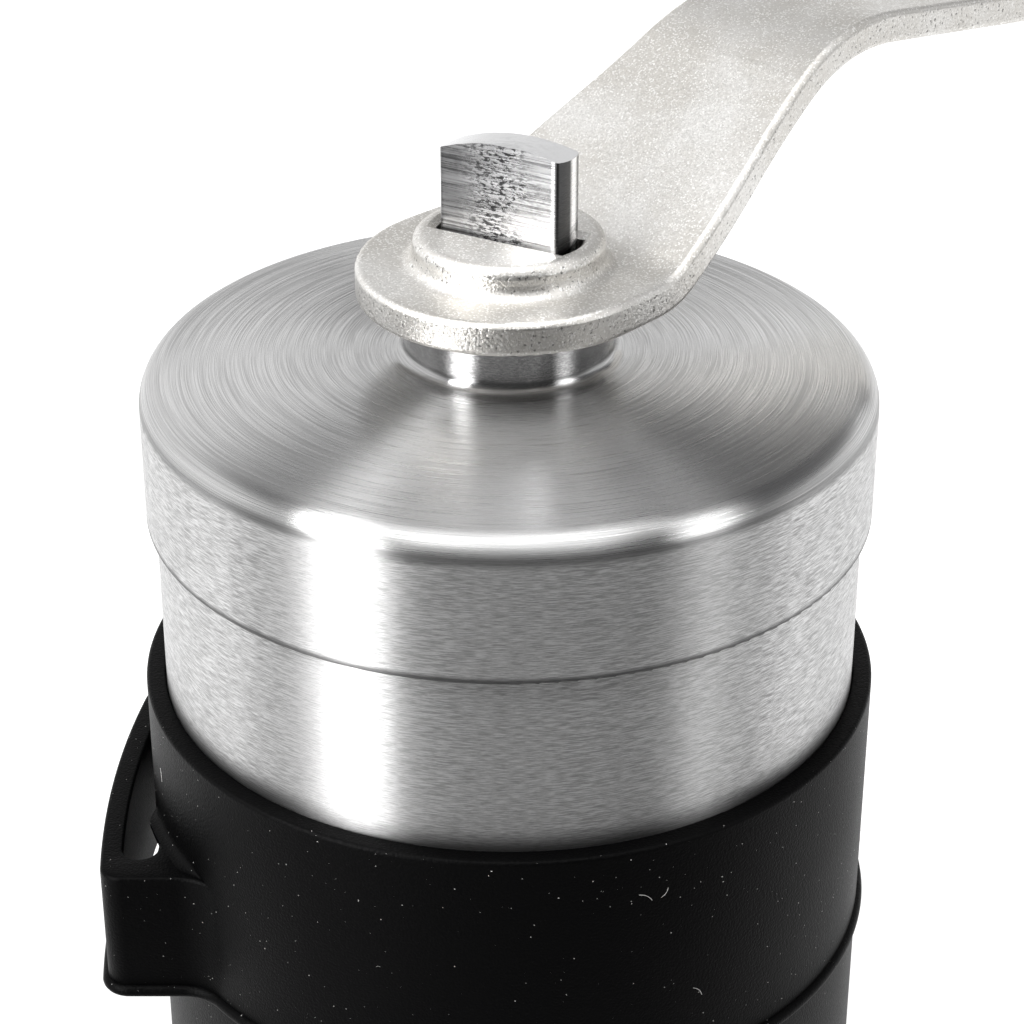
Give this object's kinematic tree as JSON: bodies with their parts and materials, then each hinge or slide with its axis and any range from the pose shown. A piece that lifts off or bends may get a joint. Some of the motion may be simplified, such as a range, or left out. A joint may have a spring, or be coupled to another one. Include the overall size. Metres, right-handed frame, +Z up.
{
  "type": "hand crank coffee grinder",
  "caption": "Slim hand coffee grinder: steel hopper tube and cup, domed lid, rubber band with an arm loop, lift-off crank with a knob and an adjustable conical ceramic burr.",
  "frame": {"origin": "centre of the cup's flat base, on the shaft's axis", "axes": "+Z up along the shaft; the strap loop on the band points to -X; +Y is away from the viewer of the picture"},
  "size_m": [0.1215, 0.1202, 0.1743],
  "materials": {
    "brushed_steel": "brushed round the axis",
    "plated_steel": "pearl nickel plate",
    "shaft_steel": "bright, with cross milling marks on the flats",
    "washer_steel": "satin",
    "spring_steel": "bright wire",
    "band_rubber": "matt moulded",
    "burr_ceramic": "unglazed, fine",
    "grey_nylon": "moulded",
    "bush_plastic": "smooth",
    "nut_plastic": "moulded",
    "knob_plastic": "fine spark texture"
  },
  "bodies": {
    "cup": {"cup": "brushed_steel"},
    "housing": {"body_tube": "brushed_steel", "grip_band": "band_rubber", "shaft_carrier": "grey_nylon", "upper_bush": "bush_plastic", "lower_bush": "bush_plastic", "thrust_washer": "washer_steel", "burr_holder": "grey_nylon", "outer_burr": "burr_ceramic", "burr_lock_ring": "grey_nylon"},
    "shaft": {"drive_shaft": "shaft_steel", "shaft_clip": "spring_steel", "spring_washer": "washer_steel", "burr_spring": "spring_steel"},
    "burr_carriage": {"inner_burr": "burr_ceramic", "burr_hub": "grey_nylon", "click_plate": "washer_steel"},
    "nut": {"adjusting_nut": "nut_plastic"},
    "lid": {"lid": "brushed_steel"},
    "arm": {"crank_arm": "plated_steel", "knob_rivet": "plated_steel", "knob_washer": "washer_steel"},
    "knob": {"knob": "knob_plastic", "knob_cap": "knob_plastic"}
  },
  "joints": [
    {"name": "body_lift", "type": "slide", "parent": "cup", "child": "housing", "axis": [0, 0, 1], "range_m": [0, 0.045]},
    {"name": "crank_turn", "type": "hinge", "parent": "housing", "child": "shaft", "pos_m": [0, 0, 0.1], "axis": [0, 0, 1], "continuous": true},
    {"name": "arm_lift", "type": "slide", "parent": "shaft", "child": "arm", "axis": [0, 0, 1], "range_m": [0, 0.045]},
    {"name": "knob_spin", "type": "hinge", "parent": "arm", "child": "knob", "pos_m": [0.08271, 0.08416, 0.16], "axis": [0, 0, 1], "continuous": true},
    {"name": "lid_lift", "type": "slide", "parent": "housing", "child": "lid", "axis": [0, 0, 1], "range_m": [0, 0.028]},
    {"name": "burr_gap", "type": "slide", "parent": "shaft", "child": "burr_carriage", "axis": [0, 0, 1], "range_m": [-0.0012, 0], "deforming": ["burr_spring"]},
    {"name": "adjuster_turn", "type": "hinge", "parent": "burr_carriage", "child": "nut", "pos_m": [0, 0, 0.042], "axis": [0, 0, 1], "range_deg": [-541, 0]}
  ],
  "couplings": [
    {"joint": "lid_lift", "follows": "arm_lift", "ratio": 0.6},
    {"joint": "adjuster_turn", "follows": "burr_gap", "rad_per_m": 7854}
  ]
}
